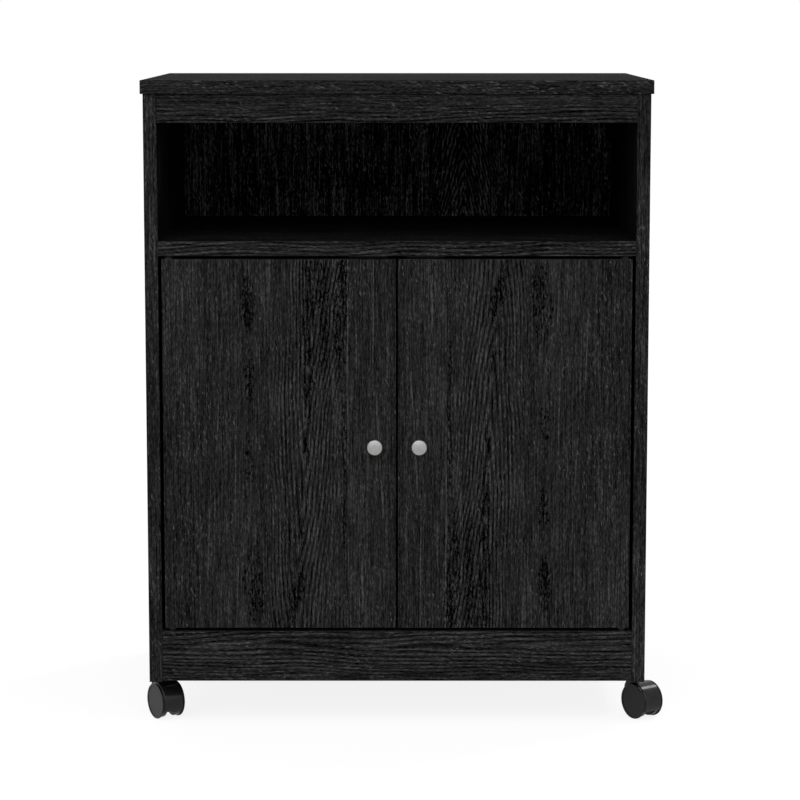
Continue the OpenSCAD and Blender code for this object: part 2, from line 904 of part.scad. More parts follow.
module left_catch_plate() {
    color(black_steel) catch_plate();
}

module right_catch_plate() {
    color(black_steel) mirror([1, 0, 0]) catch_plate();
}

module left_plate_screw() {
    color(zinc) plate_screw();
}

module right_plate_screw() {
    color(zinc) mirror([1, 0, 0]) plate_screw();
}

module magnet() {
    translate([-catch_offset - magnet_width / 2, magnet_front_y, plate_middle_z - magnet_height / 2])
    cube([magnet_width, magnet_depth, magnet_height]);
}

module catch_magnets() {
    color(magnet_grey) both_halves() magnet();
}

module catch_screw_pair() {
    for (side = [-1, 1])
        translate([side * catch_screw_x - catch_offset, catch_front_y + catch_depth / 2, 0]) {
            rod_z(small_screw_diameter, catch_bottom_z, niche_shelf_z + small_screw_length);
            rod_z(small_screw_head_diameter, catch_bottom_z, catch_bottom_z + small_screw_head_thickness);
        }
}

module catch_screws() {
    color(zinc) both_halves() catch_screw_pair();
}

module catch_housings() {
    color(black_plastic)
    both_halves()
    difference() {
        translate([-catch_offset - catch_width / 2, catch_front_y, catch_bottom_z])
        cube([catch_width, catch_depth, niche_shelf_z - catch_bottom_z]);
        magnet();
        catch_screw_pair();
    }
}

// ---- Casters ----

module at_caster(caster) {
    translate([caster.x, caster.y, 0])
    rotate([0, 0, caster.z])
    children();
}

// Children revolve about Z; here they are turned onto the axle's line along +Y
module on_axle() {
    translate([caster_trail, 0, wheel_radius])
    rotate([-90, 0, 0])
    children();
}

module caster_socket() {
    difference() {
        union() {
            rod_z(socket_flange_diameter, caster_height - socket_flange_thickness, caster_height);
            rod_z(socket_diameter, caster_height, socket_top_z);
        }
        rod_z(stem_diameter + 2 * stem_clearance, caster_height - socket_flange_thickness - cut,
            stem_top_z + swivel_gap);
    }
}

module caster_sockets() {
    color(black_plastic)
    for (caster = [front_left, front_right, rear_left, rear_right])
        at_caster(caster)
        caster_socket();
}

module caster_stem() {
    tip = 1.5;
    color(zinc) {
        rod_z(stem_diameter, stem_foot_z, stem_top_z - tip);
        translate([0, 0, stem_top_z - tip])
        cylinder(d1 = stem_diameter, d2 = stem_diameter - 2 * tip, h = tip);
    }
}

// The hood covers the wheels from under the axle at the trailing side, over the top, to the
// side under the stem
module hood_sweep() {
    hood_end = 205;
    inner = hood_radius - hood_bevel;
    rotate([0, 0, -hood_end])
    rotate_extrude(angle = hood_end + hood_drop)
    polygon([
        [0, -hood_half_width],
        [inner, -hood_half_width],
        [hood_radius, hood_bevel - hood_half_width],
        [hood_radius, hood_half_width - hood_bevel],
        [inner, hood_half_width],
        [0, hood_half_width]
    ]);
}

module caster_hood() {
    hub_diameter = axle_diameter + 2 * hub_wall;
    color(black_plastic)
    difference() {
        union() {
            on_axle() {
                hood_sweep();
                translate([0, 0, -hood_web / 2]) cylinder(d = hub_diameter, h = hood_web);
            }
            translate([saddle_radius - saddle_lead, 0, saddle_top_z - saddle_radius])
            rotate([90, 0, 0])
            cylinder(r = saddle_radius, h = saddle_width, center = true);
            rod_z(neck_diameter, stem_foot_z, neck_top_z);
        }
        on_axle()
        for (side = [0, 1])
            mirror([0, 0, side])
            translate([0, 0, hood_web / 2])
            cylinder(r = wheel_space_radius, h = caster_width);
        on_axle()
        translate([0, 0, -caster_width / 2])
        cylinder(d = axle_diameter, h = caster_width);
        rod_z(stem_diameter, stem_foot_z, neck_top_z + cut);
    }
}

module caster_axle() {
    color(zinc)
    on_axle()
    translate([0, 0, -axle_half_length])
    cylinder(d = axle_diameter, h = 2 * axle_half_length);
}

// Half of a wheel's section: its radius along x, its distance from the hood's middle along y
module wheel_section() {
    outer_y = caster_width / 2;
    dish_y = outer_y - wheel_dish_depth;
    dish_radius = wheel_radius - wheel_rim_width;
    square_radius = wheel_radius - tread_rounding;
    difference() {
        union() {
            translate([0, wheel_inner_y])
            square([drum_diameter / 2, dish_y - wheel_inner_y]);
            translate([0, band_inner_y])
            square([wheel_band_radius, dish_y - band_inner_y]);
            translate([0, tread_inner_y])
            square([square_radius, tread_width]);
            translate([0, tread_inner_y + tread_rounding])
            square([wheel_radius, tread_width - 2 * tread_rounding]);
            for (y = [tread_inner_y + tread_rounding, outer_y - tread_rounding])
                translate([square_radius, y]) circle(tread_rounding);
        }
        translate([-cut, dish_y]) square([dish_radius + cut, wheel_dish_depth + cut]);
        square([axle_diameter / 2 + axle_clearance, wheel_bore_end_y]);
    }
}

module caster_wheel() {
    color(black_plastic)
    on_axle()
    rotate_extrude($fn = 96) wheel_section();
}

module caster_wheel_left() {
    mirror([0, 1, 0]) caster_wheel();
}

module front_left_hood() {
    at_caster(front_left) caster_hood();
}

module front_left_stem() {
    at_caster(front_left) caster_stem();
}

module front_left_axle() {
    at_caster(front_left) caster_axle();
}

module front_left_wheel_left() {
    at_caster(front_left) caster_wheel_left();
}

module front_left_wheel_right() {
    at_caster(front_left) caster_wheel();
}

module front_right_hood() {
    at_caster(front_right) caster_hood();
}

module front_right_stem() {
    at_caster(front_right) caster_stem();
}

module front_right_axle() {
    at_caster(front_right) caster_axle();
}

module front_right_wheel_left() {
    at_caster(front_right) caster_wheel_left();
}

module front_right_wheel_right() {
    at_caster(front_right) caster_wheel();
}

module rear_left_hood() {
    at_caster(rear_left) caster_hood();
}

module rear_left_stem() {
    at_caster(rear_left) caster_stem();
}

module rear_left_axle() {
    at_caster(rear_left) caster_axle();
}

module rear_left_wheel_left() {
    at_caster(rear_left) caster_wheel_left();
}

module rear_left_wheel_right() {
    at_caster(rear_left) caster_wheel();
}

module rear_right_hood() {
    at_caster(rear_right) caster_hood();
}

module rear_right_stem() {
    at_caster(rear_right) caster_stem();
}

module rear_right_axle() {
    at_caster(rear_right) caster_axle();
}

module rear_right_wheel_left() {
    at_caster(rear_right) caster_wheel_left();
}

module rear_right_wheel_right() {
    at_caster(rear_right) caster_wheel();
}

top_panel();
left_side_panel();
right_side_panel();
niche_shelf();
bottom_board();
back_panel();
top_rail();
bottom_rail();
adjustable_shelf();
shelf_pins();
cam_locks();
cam_bolts();
dowels();
back_nails();
door_pivot_pins();
catch_housings();
catch_magnets();
catch_screws();
caster_sockets();
left_door();
left_door_bushes();
left_knob();
left_knob_screw();
left_catch_plate();
left_plate_screw();
right_door();
right_door_bushes();
right_knob();
right_knob_screw();
right_catch_plate();
right_plate_screw();
front_left_hood();
front_left_stem();
front_left_axle();
front_left_wheel_left();
front_left_wheel_right();
front_right_hood();
front_right_stem();
front_right_axle();
front_right_wheel_left();
front_right_wheel_right();
rear_left_hood();
rear_left_stem();
rear_left_axle();
rear_left_wheel_left();
rear_left_wheel_right();
rear_right_hood();
rear_right_stem();
rear_right_axle();
rear_right_wheel_left();
rear_right_wheel_right();
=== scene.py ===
"""The looks of a black oak microwave cart with two doors, an open niche and twin-wheel casters.

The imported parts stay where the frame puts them. This script dresses them in procedural
finishes, and sets up a plain pale studio and the camera.
"""

from __future__ import annotations

import json
import logging
import math
from dataclasses import dataclass
from enum import Enum
from typing import ClassVar, Iterable, Union

import bmesh
import bpy
from mathutils import Euler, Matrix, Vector

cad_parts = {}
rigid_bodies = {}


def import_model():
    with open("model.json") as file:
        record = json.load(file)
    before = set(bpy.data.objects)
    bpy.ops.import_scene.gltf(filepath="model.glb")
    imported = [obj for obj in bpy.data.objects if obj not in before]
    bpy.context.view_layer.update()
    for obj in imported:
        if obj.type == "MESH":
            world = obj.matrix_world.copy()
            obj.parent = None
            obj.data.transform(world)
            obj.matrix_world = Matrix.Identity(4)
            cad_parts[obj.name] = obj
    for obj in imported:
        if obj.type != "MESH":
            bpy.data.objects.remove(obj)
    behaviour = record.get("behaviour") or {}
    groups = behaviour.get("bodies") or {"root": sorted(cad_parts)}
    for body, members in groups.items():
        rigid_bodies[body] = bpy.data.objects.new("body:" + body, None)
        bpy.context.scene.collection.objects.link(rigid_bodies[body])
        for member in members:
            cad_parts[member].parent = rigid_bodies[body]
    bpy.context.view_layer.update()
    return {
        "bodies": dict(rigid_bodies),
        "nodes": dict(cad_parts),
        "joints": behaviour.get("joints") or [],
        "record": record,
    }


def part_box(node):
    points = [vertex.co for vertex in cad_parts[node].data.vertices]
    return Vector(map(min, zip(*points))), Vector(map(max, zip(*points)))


LOG = logging.getLogger("microwave_cart")

Colour = tuple[float, float, float]
Frame = dict[str, object]


def grey(level: float) -> tuple[float, float, float, float]:
    """A neutral colour of that linear level."""
    return (level, level, level, 1.0)


def opaque(colour: Colour) -> tuple[float, float, float, float]:
    """That colour with full alpha."""
    return (*colour, 1.0)


# ---------------------------------------------------------------- shader arithmetic


class Signal:
    """A value in a node tree. Arithmetic on it adds Math nodes."""

    def __init__(self, graph: "Graph", socket: bpy.types.NodeSocket) -> None:
        """Wraps one output socket of a graph's nodes."""
        self.graph = graph
        self.socket = socket

    def __add__(self, other: "Term") -> "Signal":
        """The sum of both."""
        return self.graph.math("ADD", self, other)

    def __radd__(self, other: "Term") -> "Signal":
        """The sum of both."""
        return self.graph.math("ADD", other, self)

    def __sub__(self, other: "Term") -> "Signal":
        """This less the other."""
        return self.graph.math("SUBTRACT", self, other)

    def __rsub__(self, other: "Term") -> "Signal":
        """The other less this."""
        return self.graph.math("SUBTRACT", other, self)

    def __mul__(self, other: "Term") -> "Signal":
        """The product of both."""
        return self.graph.math("MULTIPLY", self, other)

    def __rmul__(self, other: "Term") -> "Signal":
        """The product of both."""
        return self.graph.math("MULTIPLY", other, self)

    def __truediv__(self, other: "Term") -> "Signal":
        """This divided by the other."""
        return self.graph.math("DIVIDE", self, other)

    def __pow__(self, other: "Term") -> "Signal":
        """This to the power of the other."""
        return self.graph.math("POWER", self, other)

    def __abs__(self) -> "Signal":
        """Its size without its sign."""
        return self.graph.math("ABSOLUTE", self)

    def __gt__(self, other: "Term") -> "Signal":
        """1 where this is larger than the other, and otherwise 0."""
        return self.graph.math("GREATER_THAN", self, other)

    def fraction(self) -> "Signal":
        """The part after the decimal point."""
        return self.graph.math("FRACT", self)

    def largest(self, other: "Term") -> "Signal":
        """The larger of both."""
        return self.graph.math("MAXIMUM", self, other)

    def signed(self) -> "Signal":
        """-1 below 0 and 1 above it."""
        return self.graph.math("SIGN", self)

    def clamped(self) -> "Signal":
        """This, kept from 0 to 1."""
        return self.graph.math("ADD", self, 0.0, clamp=True)

    def smooth(self, low: float, high: float) -> "Signal":
        """0 below low and 1 above high, with a smooth step between them.

        Args:
            low: Where the step starts. It may be above high, and the step then falls.
            high: Where the step ends.

        Returns:
            The stepped value.
        """
        settings = {"interpolation_type": "SMOOTHSTEP", "clamp": True}
        inputs = {"Value": self, "From Min": low, "From Max": high}
        return Signal(self.graph, self.graph.node("ShaderNodeMapRange", settings, inputs).outputs[0])


Term = Union[Signal, float]


class Graph:
    """The nodes of one material or of the world."""

    def __init__(self, tree: bpy.types.NodeTree) -> None:
        """Starts with no nodes in that tree."""
        self.tree = tree
        tree.nodes.clear()

    def node(
        self,
        kind: str,
        settings: dict[str, object] | None = None,
        inputs: dict[str | int, object] | None = None,
    ) -> bpy.types.Node:
        """Adds one node.

        Args:
            kind: The node's type in Blender.
            settings: Its properties, set first. "stops" gives a ramp's places and colours.
            inputs: The values of its sockets, or what is linked to them.

        Returns:
            The node.
        """
        made = self.tree.nodes.new(kind)
        for name, value in (settings or {}).items():
            if name == "stops":
                self._set_stops(made.color_ramp, value)
            else:
                setattr(made, name, value)
        for name, value in (inputs or {}).items():
            source = value.socket if isinstance(value, Signal) else value
            if isinstance(source, bpy.types.NodeSocket):
                self.tree.links.new(source, made.inputs[name])
            else:
                made.inputs[name].default_value = source
        return made

    @staticmethod
    def _set_stops(ramp: bpy.types.ColorRamp, stops: Iterable[tuple[float, tuple]]) -> None:
        """Gives a ramp these places and colours."""
        stops = list(stops)
        while len(ramp.elements) < len(stops):
            ramp.elements.new(1.0)
        for element, (place, colour) in zip(ramp.elements, stops):
            element.position = place
            element.color = colour

    def math(self, operation: str, *terms: Term, clamp: bool = False) -> Signal:
        """Adds a Math node.

        Args:
            operation: The node's operation.
            terms: Its values in order.
            clamp: Whether the result is kept from 0 to 1.

        Returns:
            The result.
        """
        settings = {"operation": operation, "use_clamp": clamp}
        return Signal(self, self.node("ShaderNodeMath", settings, dict(enumerate(terms))).outputs[0])

    def split(self, vector: bpy.types.NodeSocket) -> tuple[Signal, Signal, Signal]:
        """The three parts of a vector."""
        made = self.node("ShaderNodeSeparateXYZ", inputs={0: vector})
        return tuple(Signal(self, out) for out in made.outputs)

    def join(self, x: Term, y: Term, z: Term) -> bpy.types.NodeSocket:
        """A vector of these three parts."""
        return self.node("ShaderNodeCombineXYZ", inputs={0: x, 1: y, 2: z}).outputs[0]

    def place(self) -> tuple[Signal, Signal, Signal]:
        """The point on the object, in metres in the cart's own frame."""
        return self.split(self.node("ShaderNodeTexCoord").outputs["Object"])

    def facing(self) -> tuple[Signal, Signal, Signal]:
        """The direction that the surface faces, in the object's own frame."""
        return self.split(self.node("ShaderNodeTexCoord").outputs["Normal"])

    def noise(self, where: bpy.types.NodeSocket, detail: float = 2.0, roughness: float = 0.5) -> Signal:
        """Soft noise about 0.5, one lump to a unit of where.

        Args:
            where: The point to read it at.
            detail: How many finer layers it has.
            roughness: How strong the finer layers are.

        Returns:
            The noise, from 0 to 1.
        """
        inputs = {"Vector": where, "Scale": 1.0, "Detail": detail, "Roughness": roughness}
        return Signal(self, self.node("ShaderNodeTexNoise", inputs=inputs).outputs[0])

    def ramp(self, level: Signal, stops: Iterable[tuple[float, tuple]]) -> bpy.types.NodeSocket:
        """The colour that a level has on a ramp of these stops."""
        made = self.node("ShaderNodeValToRGB", {"stops": stops}, {"Fac": level})
        return made.outputs["Color"]

    def mix(self, share: Term, first: object, second: object) -> bpy.types.NodeSocket:
        """The first colour, and the second one in that share."""
        settings = {"data_type": "RGBA", "clamp_factor": True}
        made = self.node("ShaderNodeMix", settings, {0: share, 6: first, 7: second})
        return made.outputs[2]

    def bump(self, height: Signal, depth: float, strength: float) -> bpy.types.NodeSocket:
        """The normal of a surface with that height on it.

        Args:
            height: The relief, from 0 to 1.
            depth: How far 1 stands over 0, in metres.
            strength: How much of it shows.

        Returns:
            The normal.
        """
        inputs = {"Strength": strength, "Distance": depth, "Height": height}
        return self.node("ShaderNodeBump", inputs=inputs).outputs[0]

    def surface(self, **sockets: object) -> None:
        """Ends the tree in a Principled shader.

        Args:
            sockets: Its sockets by name, with _ for a space.
        """
        inputs = {name.replace("_", " "): value for name, value in sockets.items()}
        shader = self.node("ShaderNodeBsdfPrincipled", inputs=inputs)
        self.node("ShaderNodeOutputMaterial", inputs={0: shader.outputs[0]})


# ---------------------------------------------------------------- finishes


class Grain(Enum):
    """The direction in which a board's grain runs."""

    SIDEWAYS = "x"
    UPRIGHT = "z"


class Face(Enum):
    """A face of a board, as the x and z of the direction that it looks in."""

    LEFT = (-1, 0)
    RIGHT = (1, 0)
    UNDER = (0, -1)
    OVER = (0, 1)


@dataclass(frozen=True)
class Knot:
    """One dark, mottled stretch of the grain.

    Its middle lies at across and along, half_width and half_length are its reach, and depth
    is how dark it gets.
    """

    across: float
    along: float
    half_width: float
    half_length: float
    depth: float = 1.0


@dataclass(frozen=True)
class Streak:
    """One long pale line in the grain.

    It runs from low to high along the grain, through across at its lower end, and drifts by
    lean for each metre. width is its reach to either side.
    """

    across: float
    low: float
    high: float
    lean: float = 0.0
    width: float = 0.0012
    strength: float = 0.3


@dataclass(frozen=True)
class Finish:
    """What every finish has: a name, and a material made once for it."""

    name: str

    def material(self) -> bpy.types.Material:
        """The finish's material, made the first time that it is asked for."""
        label = f"{self.name}_finish"
        found = bpy.data.materials.get(label)
        if found is None:
            found = bpy.data.materials.new(label)
            found.use_nodes = True
            self.paint(Graph(found.node_tree))
        return found

    def paint(self, graph: Graph) -> None:
        """Adds the finish's nodes to an empty graph."""
        raise NotImplementedError


@dataclass(frozen=True)
class OakLaminate(Finish):
    """Black oak woodgrain laminate.

    heart is the place across the grain where the growth rings stand nearest. It curves off
    by bend times the square of the way along the grain from foot. apex is the place along
    the grain from which the rings close, and taper how fast they do. lift makes the whole
    board paler. inner names the faces that look into the cart, darkened as painted shade.
    turned is the middle of the half turn that a board cut the other way round has.
    """

    grain: Grain = Grain.UPRIGHT
    shift: float = 0.0
    heart: float = 0.0
    bend: float = 0.0
    foot: float = 0.0
    apex: float = 1.0
    taper: float = 0.09
    lift: float = 0.0
    inner: tuple[Face, ...] = ()
    knots: tuple[Knot, ...] = ()
    streaks: tuple[Streak, ...] = ()
    turned: tuple[float, float] | None = None

    RING: ClassVar[float] = 0.0038
    RING_REACH: ClassVar[tuple[float, float]] = (0.022, 0.048)
    POINTED: ClassVar[float] = 1.25
    #: How far the rings drift and sway, in metres
    RING_DRIFT: ClassVar[float] = 0.02
    RING_SWAY: ClassVar[float] = 0.0036
    #: How much painted shade darkens the print on the inner faces, fitted to the black niche
    INNER_PAINTED_SHADE: ClassVar[float] = 0.28
    #: The share of a face's normal that makes it face one way
    FACING: ClassVar[float] = 0.7
    #: How much each layer of the print counts
    FIBRE: ClassVar[float] = 1.35
    PORE: ClassVar[float] = 1.0
    GRIT: ClassVar[float] = 0.6
    BROAD: ClassVar[float] = 0.35
    PALE_STREAK: ClassVar[float] = 0.24
    RINGS: ClassVar[float] = 0.27
    MOTTLE: ClassVar[float] = 0.46
    FLECKS: ClassVar[float] = 0.5
    #: Almost none, or the top would be too pale where it is seen nearly edge-on
    SHEEN: ClassVar[float] = 0.0006
    STOPS: ClassVar[tuple] = (
        (0.00, grey(0.0001)),
        (0.20, grey(0.0034)),
        (0.50, grey(0.0152)),
        (0.74, grey(0.0285)),
        (1.00, grey(0.0720)),
    )

    def grain_place(self, graph: Graph) -> tuple[Signal, Signal, Signal]:
        """The point on the board as across the grain, through the board, and along the grain."""
        x, y, z = graph.place()
        nx, _, nz = graph.facing()
        if self.grain is Grain.UPRIGHT:
            across, along, strip = x, z, (y, x)
            side, end = abs(nx) > self.FACING, abs(nz) > self.FACING
        else:
            across, along, strip = z, x, (z, y)
            side, end = abs(nz) > self.FACING, abs(nx) > self.FACING
        across, through = across + side * (y - across), y + side * (across - y)
        # The strip on a board's end has its grain along the strip
        across, along = across + end * (strip[0] - across), along + end * (strip[1] - along)
        if self.turned:
            across, along = 2 * self.turned[0] - across, 2 * self.turned[1] - along
        return across, through, along

    def rings(self, graph: Graph, across: Signal, through: Signal, along: Signal) -> Signal:
        """The growth rings at a point: below 0 on a dark line and above 0 on a pale one."""
        drift = graph.noise(graph.join(across * 9, through * 9, along * 6 + self.shift), 1.0)
        sway = graph.noise(graph.join(across * 70, through * 30, along * 18 + self.shift), 2.0)
        bent = (along - self.foot) ** 2 * self.bend
        side = abs(across - self.heart - bent + (drift - 0.5) * self.RING_DRIFT)
        deep = (self.apex - along).largest(0.0) * self.taper
        radius = (side ** self.POINTED + deep ** self.POINTED) ** (1.0 / self.POINTED)
        phase = ((radius + (sway - 0.5) * self.RING_SWAY) / self.RING).fraction()
        dark = phase.smooth(0.0, 0.18) - phase.smooth(0.26, 0.52)
        pale = phase.smooth(0.55, 0.72) - phase.smooth(0.78, 0.96)
        reach = side.smooth(self.RING_REACH[1], self.RING_REACH[0])
        return (pale * 0.55 - dark) * (reach * 0.9 + 0.1)

    def mottle(self, graph: Graph, across: Signal, through: Signal, along: Signal) -> Signal:
        """How dark the ragged black specks of the board's dark stretches are, from 0 to 1."""
        broad = graph.noise(graph.join(across * 60, through * 30, along * 9 + self.shift * 2), 3.0, 0.7)
        zone = broad.smooth(0.60, 0.78) * 0.5
        for knot in self.knots:
            wide = ((across - knot.across) / knot.half_width) ** 2
            long = ((along - knot.along) / knot.half_length) ** 2
            zone = zone.largest((wide + long + (broad - 0.5) * 5).smooth(2.4, -0.6) * knot.depth)
        speck = graph.noise(graph.join(across * 480, through * 300, along * 210 - self.shift), 3.0, 0.75)
        return (speck + zone * 0.18).smooth(0.585, 0.65) * zone.smooth(0.0, 0.3)

    def flecks(self, graph: Graph, across: Signal, through: Signal, along: Signal) -> Signal:
        """The short pale strokes that lie slantwise over the grain, from 0 to 1."""
        crowd = graph.noise(graph.join(across * 24, through * 24, along * 17 + self.shift), 1.0)
        tilt = (graph.noise(graph.join(across * 14, through * 14, along * 14 - self.shift)) - 0.5).signed()
        slant = across + along * (tilt * 0.14 + 0.16)
        stroke = graph.noise(graph.join(slant * 560, through * 200, along * 135 + self.shift), 0.0)
        return stroke.smooth(0.68, 0.77) * crowd.smooth(0.43, 0.57)

    def lines(self, across: Signal, along: Signal) -> Signal:
        """The long pale lines that this board has, from 0 up."""
        shown = []
        for line in self.streaks:
            off = abs(across - line.across - (along - line.low) * line.lean)
            ends = along.smooth(line.low, line.low + 0.02) * along.smooth(line.high, line.high - 0.02)
            shown.append(off.smooth(line.width, 0.0) * ends * line.strength)
        return sum(shown)

    def tone(self, graph: Graph) -> tuple[Signal, Signal]:
        """The wood's level on the ramp, and its relief."""
        across, through, along = self.grain_place(graph)
        fibre = graph.noise(graph.join(across * 560, through * 400, along * 19 + self.shift), 3.0, 0.65)
        pore = graph.noise(graph.join(across * 820, through * 500, along * 170 + self.shift), 1.0)
        grit = graph.noise(graph.join(across * 1500, through * 900, along * 700 + self.shift), 0.0)
        broad = graph.noise(graph.join(across * 45, through * 30, along * 3.5 + self.shift), 1.0)
        streak = graph.noise(graph.join(across * 300, through * 200, along * 9 - self.shift), 1.0)
        rings = self.rings(graph, across, through, along)
        mottle = self.mottle(graph, across, through, along)
        level = (0.5 + self.lift) + (fibre - 0.5) * self.FIBRE + (pore - 0.5) * self.PORE
        level = level + (grit - 0.5) * self.GRIT + (broad - 0.5) * self.BROAD
        level = level + streak.smooth(0.62, 0.80) * self.PALE_STREAK + rings * self.RINGS
        level = level - mottle * self.MOTTLE
        if self.streaks:
            level = level + self.lines(across, along)
        level = level + self.flecks(graph, across, through, along) * self.FLECKS
        # Painted shade: the inner faces are darkened to stand in for the shade that falls into the cart
        if self.inner:
            nx, _, nz = graph.facing()
            dark = sum((nx * face.value[0] + nz * face.value[1] > self.FACING) for face in self.inner)
            level = level - dark * self.INNER_PAINTED_SHADE
        return level.clamped(), (fibre * 0.6 + pore * 0.5 + rings * 0.3).clamped()

    def paint(self, graph: Graph) -> None:
        """Adds the laminate's nodes."""
        level, relief = self.tone(graph)
        graph.surface(
            Base_Color=graph.ramp(level, self.STOPS),
            Roughness=0.62 - relief * 0.12,
            Specular_IOR_Level=self.SHEEN,
            Normal=graph.bump(relief, 0.00012, 0.35),
        )


@dataclass(frozen=True)
class Hardboard(OakLaminate):
    """Thin hardboard, with the oak print on its inner face and bare fibre on its outer one."""

    STOPS: ClassVar[tuple] = (
        (0.36, grey(0.0002)),
        (0.50, grey(0.0042)),
        (0.62, grey(0.0380)),
        (0.85, grey(0.1700)),
    )
    BARE: ClassVar[tuple] = (
        (0.25, opaque((0.060, 0.036, 0.020))),
        (0.50, opaque((0.105, 0.066, 0.038))),
        (0.80, opaque((0.165, 0.110, 0.068))),
    )

    def paint(self, graph: Graph) -> None:
        """Adds the board's nodes."""
        level, relief = self.tone(graph)
        x, y, z = graph.place()
        _, ny, _ = graph.facing()
        fibre = graph.noise(graph.join(x * 420, y * 420, z * 380), 3.0, 0.7)
        cloud = graph.noise(graph.join(x * 9, y * 9, z * 7), 2.0)
        weave = ((x * 640).fraction() - 0.5) * ((z * 640).fraction() - 0.5) * 4
        bare = ny > 0.5
        back = graph.ramp(fibre * 0.75 + cloud * 0.25, self.BARE)
        graph.surface(
            Base_Color=graph.mix(bare, graph.ramp(level, self.STOPS), back),
            Roughness=0.66 + bare * 0.16,
            Specular_IOR_Level=self.SHEEN,
            Normal=graph.bump(relief + bare * (fibre + weave * 0.3 - relief), 0.00012, 0.4),
        )


@dataclass(frozen=True)
class SatinNickel(Finish):
    """Satin nickel plating on a turned knob, finely brushed in rings about its middle."""

    centre: tuple[float, float] = (0.0, 0.0)

    def paint(self, graph: Graph) -> None:
        """Adds the plating's nodes."""
        x, y, z = graph.place()
        radius = ((x - self.centre[0]) ** 2 + (z - self.centre[1]) ** 2) ** 0.5
        rings = graph.noise(graph.join(radius * 5200, y * 2600, 0.0), 2.0, 0.7)
        smudge = graph.noise(graph.join(x * 190, y * 190, z * 190), 2.0)
        graph.surface(
            Base_Color=graph.ramp(
                rings * 0.5 + smudge * 0.5,
                ((0.3, opaque((0.262, 0.260, 0.256))), (0.7, opaque((0.352, 0.350, 0.345)))),
            ),
            Metallic=1.0,
            Roughness=0.30 + smudge * 0.14,
            Normal=graph.bump(rings, 0.00003, 0.3),
        )


@dataclass(frozen=True)
class ZincSteel(Finish):
    """Bright zinc plating, clouded as plated steel is."""

    def paint(self, graph: Graph) -> None:
        """Adds the plating's nodes."""
        x, y, z = graph.place()
        cloud = graph.noise(graph.join(x * 310, y * 310, z * 310), 3.0, 0.6)
        draw = graph.noise(graph.join(x * 2400, y * 2400, z * 500), 1.0)
        graph.surface(
            Base_Color=graph.ramp(
                cloud, ((0.3, opaque((0.40, 0.41, 0.42))), (0.7, opaque((0.62, 0.62, 0.63))))
            ),
            Metallic=1.0,
            Roughness=0.26 + cloud * 0.22,
            Normal=graph.bump(draw, 0.00004, 0.3),
        )


@dataclass(frozen=True)
class MouldedPlastic(Finish):
    """Moulded plastic with a faint eroded texture and a few scuffs."""

    colour: Colour = (0.0055, 0.0055, 0.0055)
    scuff: Colour = (0.014, 0.014, 0.014)
    roughness: float = 0.2
    gloss: float = 0.14
    texture: float = 0.2

    def paint(self, graph: Graph) -> None:
        """Adds the plastic's nodes."""
        x, y, z = graph.place()
        grain = graph.noise(graph.join(x * 1900, y * 1900, z * 1900), 1.0)
        cloud = graph.noise(graph.join(x * 120, y * 120, z * 120), 3.0, 0.65)
        scratch = graph.noise(graph.join(x * 900, y * 900, z * 160), 0.0).smooth(0.74, 0.86)
        graph.surface(
            Base_Color=graph.mix(
                cloud.smooth(0.45, 0.8) * 0.6 + scratch * 0.4, opaque(self.colour), opaque(self.scuff)
            ),
            Roughness=self.roughness + (cloud - 0.5) * 0.12 + scratch * 0.1,
            Specular_IOR_Level=self.gloss,
            Normal=graph.bump(grain, 0.00004, self.texture),
        )


@dataclass(frozen=True)
class BlackSteel(Finish):
    """Steel with a dark, oily oxide finish."""

    def paint(self, graph: Graph) -> None:
        """Adds the finish's nodes."""
        x, y, z = graph.place()
        cloud = graph.noise(graph.join(x * 260, y * 260, z * 260), 3.0, 0.6)
        graph.surface(
            Base_Color=graph.ramp(cloud, ((0.3, grey(0.005)), (0.7, opaque((0.015, 0.014, 0.016))))),
            Metallic=0.6,
            Roughness=0.38 + cloud * 0.2,
            Specular_IOR_Level=0.12,
            Normal=graph.bump(cloud, 0.00004, 0.3),
        )


@dataclass(frozen=True)
class TurnedBeech(Finish):
    """Plain beech with its short flecks."""

    def paint(self, graph: Graph) -> None:
        """Adds the wood's nodes."""
        x, y, z = graph.place()
        fleck = graph.noise(graph.join(x * 900, y * 900, z * 300), 2.0, 0.6)
        graph.surface(
            Base_Color=graph.ramp(
                fleck, ((0.35, opaque((0.36, 0.23, 0.12))), (0.6, opaque((0.55, 0.40, 0.24))))
            ),
            Roughness=0.6,
            Normal=graph.bump(fleck, 0.0001, 0.4),
        )


@dataclass(frozen=True)
class Ferrite(Finish):
    """The dull, finely pitted grey of a sintered magnet."""

    def paint(self, graph: Graph) -> None:
        """Adds the magnet's nodes."""
        x, y, z = graph.place()
        pits = graph.noise(graph.join(x * 1500, y * 1500, z * 1500), 2.0, 0.7)
        graph.surface(
            Base_Color=graph.ramp(pits, ((0.3, grey(0.025)), (0.65, grey(0.075)))),
            Roughness=0.55 + pits * 0.15,
            Normal=graph.bump(pits, 0.00008, 0.5),
        )


class Shared:
    """The finishes that several sub-assemblies have."""

    ZINC = ZincSteel("zinc_steel")
    BLACK = MouldedPlastic(
        "black_plastic",
        colour=(0.010, 0.010, 0.010),
        scuff=(0.020, 0.020, 0.020),
        roughness=0.23,
        gloss=0.18,
    )
    WHEEL = MouldedPlastic("wheel_plastic", roughness=0.24, gloss=0.15, texture=0.3)
    DARK_STEEL = BlackSteel("black_steel")
    BEECH = TurnedBeech("beech")
    FERRITE = Ferrite("ferrite")


def dress(frame: Frame, node: str, finish: Finish) -> None:
    """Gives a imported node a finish.

    Args:
        node: The node's name.
        finish: Its finish.
    """
    piece = frame["nodes"][node]
    piece.data.materials.clear()
    piece.data.materials.append(finish.material())
    piece.data.shade_smooth()
    LOG.info("%s is dressed in %s", node, finish.name)


# ---------------------------------------------------------------- sub-assemblies


